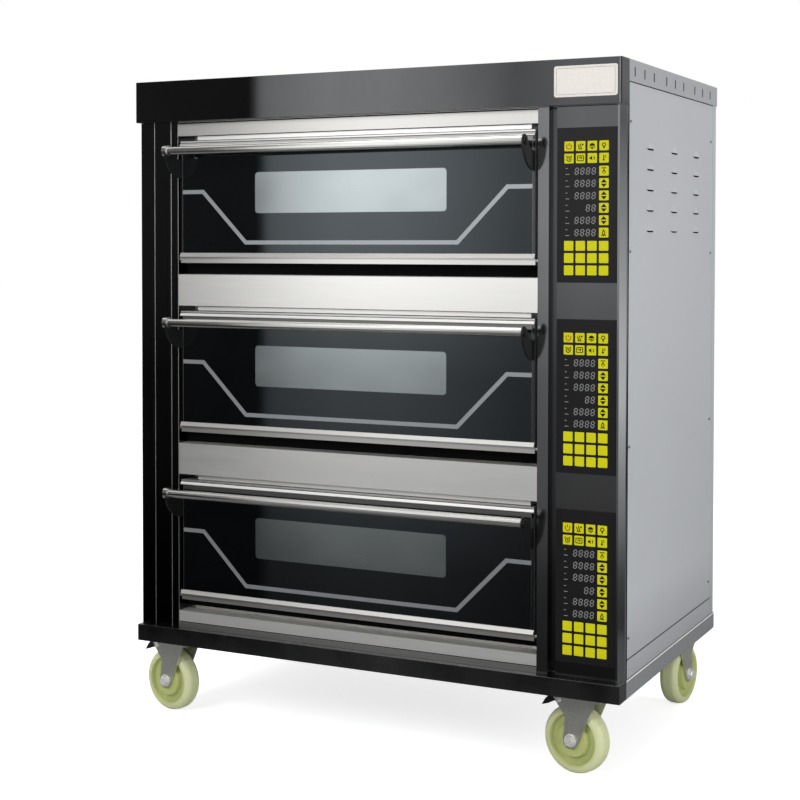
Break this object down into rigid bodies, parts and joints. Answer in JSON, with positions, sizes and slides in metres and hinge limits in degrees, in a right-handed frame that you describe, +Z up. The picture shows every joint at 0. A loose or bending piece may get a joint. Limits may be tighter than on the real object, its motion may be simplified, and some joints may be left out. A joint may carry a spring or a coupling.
{
  "type": "deck oven",
  "caption": "Electric bakery deck oven on casters: a tall steel cabinet of stacked baking chambers with drop-down glass doors, bar handles and a keypad column.",
  "frame": {"origin": "on the floor, below the centre of the whole part's box", "axes": "+Z up, -Y towards the person who opens the doors, +X to that person's right"},
  "size_m": [1.2642, 0.8636, 1.55],
  "materials": {
    "black_gloss": "high-gloss black enamelled steel sheet",
    "steel": "bright stainless sheet, finely brushed along its length",
    "grey_paint": "satin grey powder coat on steel sheet",
    "black_glass": "black-backed toughened glass with a clear window and a silver printed line",
    "membrane": "dark printed membrane with pale yellow keys",
    "black_plastic": "black moulded heat-resistant plastic",
    "liner_steel": "dull heat-tinted steel sheet",
    "heater_steel": "dark oxidised heater sheath",
    "zinc": "zinc-plated pressed steel",
    "nylon": "cream-green cast nylon"
  },
  "bodies": {
    "root": {"base_chassis": "grey_paint", "base_front_trim": "black_gloss", "hood_front": "black_gloss", "top_cover": "grey_paint", "left_side_panel": "grey_paint", "right_side_panel": "grey_paint", "back_panel": "grey_paint", "power_inlet_gland": "black_plastic", "left_column": "black_gloss", "right_column": "black_gloss", "control_panel": "black_gloss", "keypad_1": "membrane", "keypad_2": "membrane", "keypad_3": "membrane", "top_lintel": "steel", "mid_panel_1": "steel", "mid_panel_2": "steel", "bottom_apron": "steel", "deck_liner_1": "liner_steel", "upper_heater_1": "heater_steel", "lower_heater_1": "heater_steel", "hearth_plate_1": "liner_steel", "deck_liner_2": "liner_steel", "upper_heater_2": "heater_steel", "lower_heater_2": "heater_steel", "hearth_plate_2": "liner_steel", "deck_liner_3": "liner_steel", "upper_heater_3": "heater_steel", "lower_heater_3": "heater_steel", "hearth_plate_3": "liner_steel", "caster_plate_front_left": "zinc", "caster_plate_front_right": "zinc", "caster_plate_rear_left": "zinc", "caster_plate_rear_right": "zinc"},
    "door_1": {"door_frame_1": "steel", "door_glass_1": "black_glass", "handle_bar_1": "steel", "handle_bracket_left_1": "black_plastic", "handle_bracket_right_1": "black_plastic"},
    "door_2": {"door_frame_2": "steel", "door_glass_2": "black_glass", "handle_bar_2": "steel", "handle_bracket_left_2": "black_plastic", "handle_bracket_right_2": "black_plastic"},
    "door_3": {"door_frame_3": "steel", "door_glass_3": "black_glass", "handle_bar_3": "steel", "handle_bracket_left_3": "black_plastic", "handle_bracket_right_3": "black_plastic"},
    "swivel_front_left": {"caster_fork_front_left": "zinc"},
    "wheel_front_left": {"caster_wheel_front_left": "nylon"},
    "pedal_front_left": {"brake_pedal_front_left": "black_plastic"},
    "swivel_front_right": {"caster_fork_front_right": "zinc"},
    "wheel_front_right": {"caster_wheel_front_right": "nylon"},
    "pedal_front_right": {"brake_pedal_front_right": "black_plastic"},
    "swivel_rear_left": {"caster_fork_rear_left": "zinc"},
    "wheel_rear_left": {"caster_wheel_rear_left": "nylon"},
    "swivel_rear_right": {"caster_fork_rear_right": "zinc"},
    "wheel_rear_right": {"caster_wheel_rear_right": "nylon"}
  },
  "joints": [
    {"name": "door_hinge_1", "type": "hinge", "parent": "root", "child": "door_1", "pos_m": [-0.0216, -0.3491, 1.122], "axis": [1, 0, 0], "range_deg": [0, 90]},
    {"name": "door_hinge_2", "type": "hinge", "parent": "root", "child": "door_2", "pos_m": [-0.0216, -0.3491, 0.714], "axis": [1, 0, 0], "range_deg": [0, 90]},
    {"name": "door_hinge_3", "type": "hinge", "parent": "root", "child": "door_3", "pos_m": [-0.0216, -0.3491, 0.306], "axis": [1, 0, 0], "range_deg": [0, 90]},
    {"name": "swivel_front_left", "type": "hinge", "parent": "root", "child": "swivel_front_left", "pos_m": [-0.50645, -0.2881, 0.1724], "axis": [0, 0, 1], "continuous": true},
    {"name": "spin_front_left", "type": "hinge", "parent": "swivel_front_left", "child": "wheel_front_left", "pos_m": [-0.55038, -0.27836, 0.075], "axis": [-0.2164, -0.9763, 0], "continuous": true},
    {"name": "brake_front_left", "type": "hinge", "parent": "swivel_front_left", "child": "pedal_front_left", "pos_m": [-0.57869, -0.27208, 0.16], "axis": [-0.2164, -0.9763, 0], "range_deg": [0, 15]},
    {"name": "swivel_front_right", "type": "hinge", "parent": "root", "child": "swivel_front_right", "pos_m": [0.54755, -0.2881, 0.1724], "axis": [0, 0, 1], "continuous": true},
    {"name": "spin_front_right", "type": "hinge", "parent": "swivel_front_right", "child": "wheel_front_right", "pos_m": [0.50362, -0.27836, 0.075], "axis": [-0.2164, -0.9763, 0], "continuous": true},
    {"name": "brake_front_right", "type": "hinge", "parent": "swivel_front_right", "child": "pedal_front_right", "pos_m": [0.47531, -0.27208, 0.16], "axis": [-0.2164, -0.9763, 0], "range_deg": [0, 15]},
    {"name": "swivel_rear_left", "type": "hinge", "parent": "root", "child": "swivel_rear_left", "pos_m": [-0.50645, 0.3119, 0.1724], "axis": [0, 0, 1], "continuous": true},
    {"name": "spin_rear_left", "type": "hinge", "parent": "swivel_rear_left", "child": "wheel_rear_left", "pos_m": [-0.50018, 0.35646, 0.075], "axis": [-0.9903, 0.1392, 0], "continuous": true},
    {"name": "swivel_rear_right", "type": "hinge", "parent": "root", "child": "swivel_rear_right", "pos_m": [0.54755, 0.3119, 0.1724], "axis": [0, 0, 1], "continuous": true},
    {"name": "spin_rear_right", "type": "hinge", "parent": "swivel_rear_right", "child": "wheel_rear_right", "pos_m": [0.55382, 0.35646, 0.075], "axis": [-0.9903, 0.1392, 0], "continuous": true}
  ]
}
